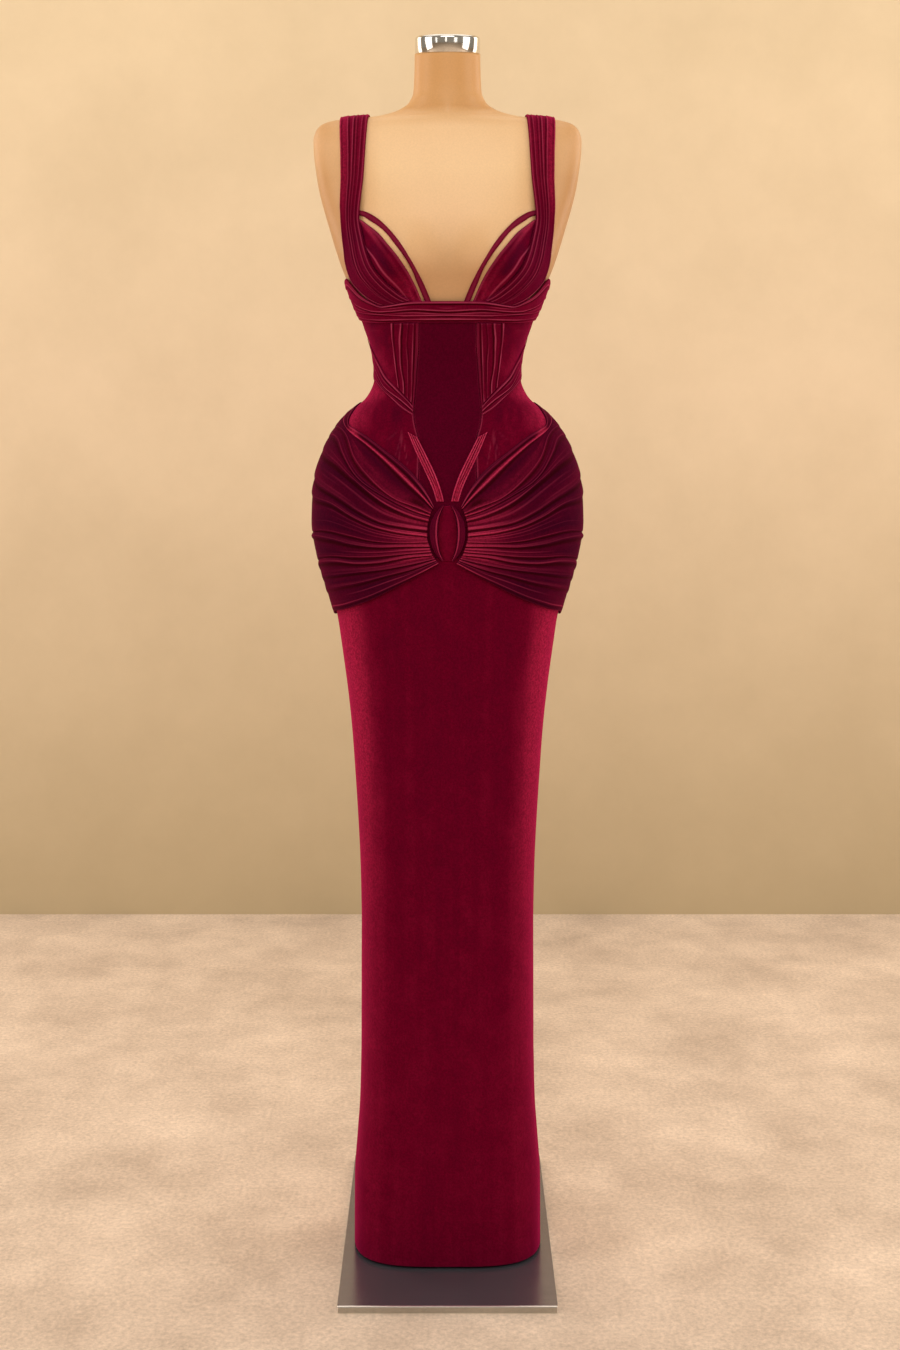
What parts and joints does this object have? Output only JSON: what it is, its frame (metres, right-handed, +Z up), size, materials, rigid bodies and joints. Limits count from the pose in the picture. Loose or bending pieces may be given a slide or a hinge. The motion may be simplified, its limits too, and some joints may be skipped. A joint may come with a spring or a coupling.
{
  "type": "evening dress on dress form",
  "caption": "Sleeveless column gown in velvet with pleated straps, draped hips and a knot, on a limbless dress form with a neck cap and a flat plate stand.",
  "frame": {"origin": "middle of the stand plate's underside", "axes": "+Z up; the wearer's front faces -Y; +X towards the wearer's left"},
  "size_m": [0.3826, 0.444, 1.6994],
  "materials": {
    "velvet": "deep red stretch velvet, soft sheen where it turns away",
    "velvet_centre": "the same velvet, smooth and darker",
    "form": "satin skin-toned shell",
    "chrome": "polished",
    "steel": "brushed"
  },
  "bodies": {
    "root": {"stand_plate": "steel", "pole_flange": "steel", "pole": "steel", "pole_collar": "steel", "form_shell": "form", "neck_cap": "chrome", "bodice_centre": "velvet_centre", "bodice_side_left": "velvet", "bodice_side_right": "velvet", "bodice_back_left": "velvet", "bodice_back_right": "velvet", "skirt_front": "velvet", "skirt_back": "velvet", "cup_left": "velvet", "cup_right": "velvet", "neckline_strip_left": "velvet", "neckline_strip_right": "velvet", "strap_left": "velvet", "strap_right": "velvet", "underbust_band": "velvet", "waist_pleats_left": "velvet", "waist_pleats_right": "velvet", "waist_swag_left": "velvet", "waist_swag_right": "velvet", "hip_drape_left": "velvet", "hip_drape_right": "velvet", "hip_band_left": "velvet", "hip_band_right": "velvet", "knot_fold_left": "velvet", "knot_fold_right": "velvet", "knot_pad": "velvet"}
  },
  "joints": []
}
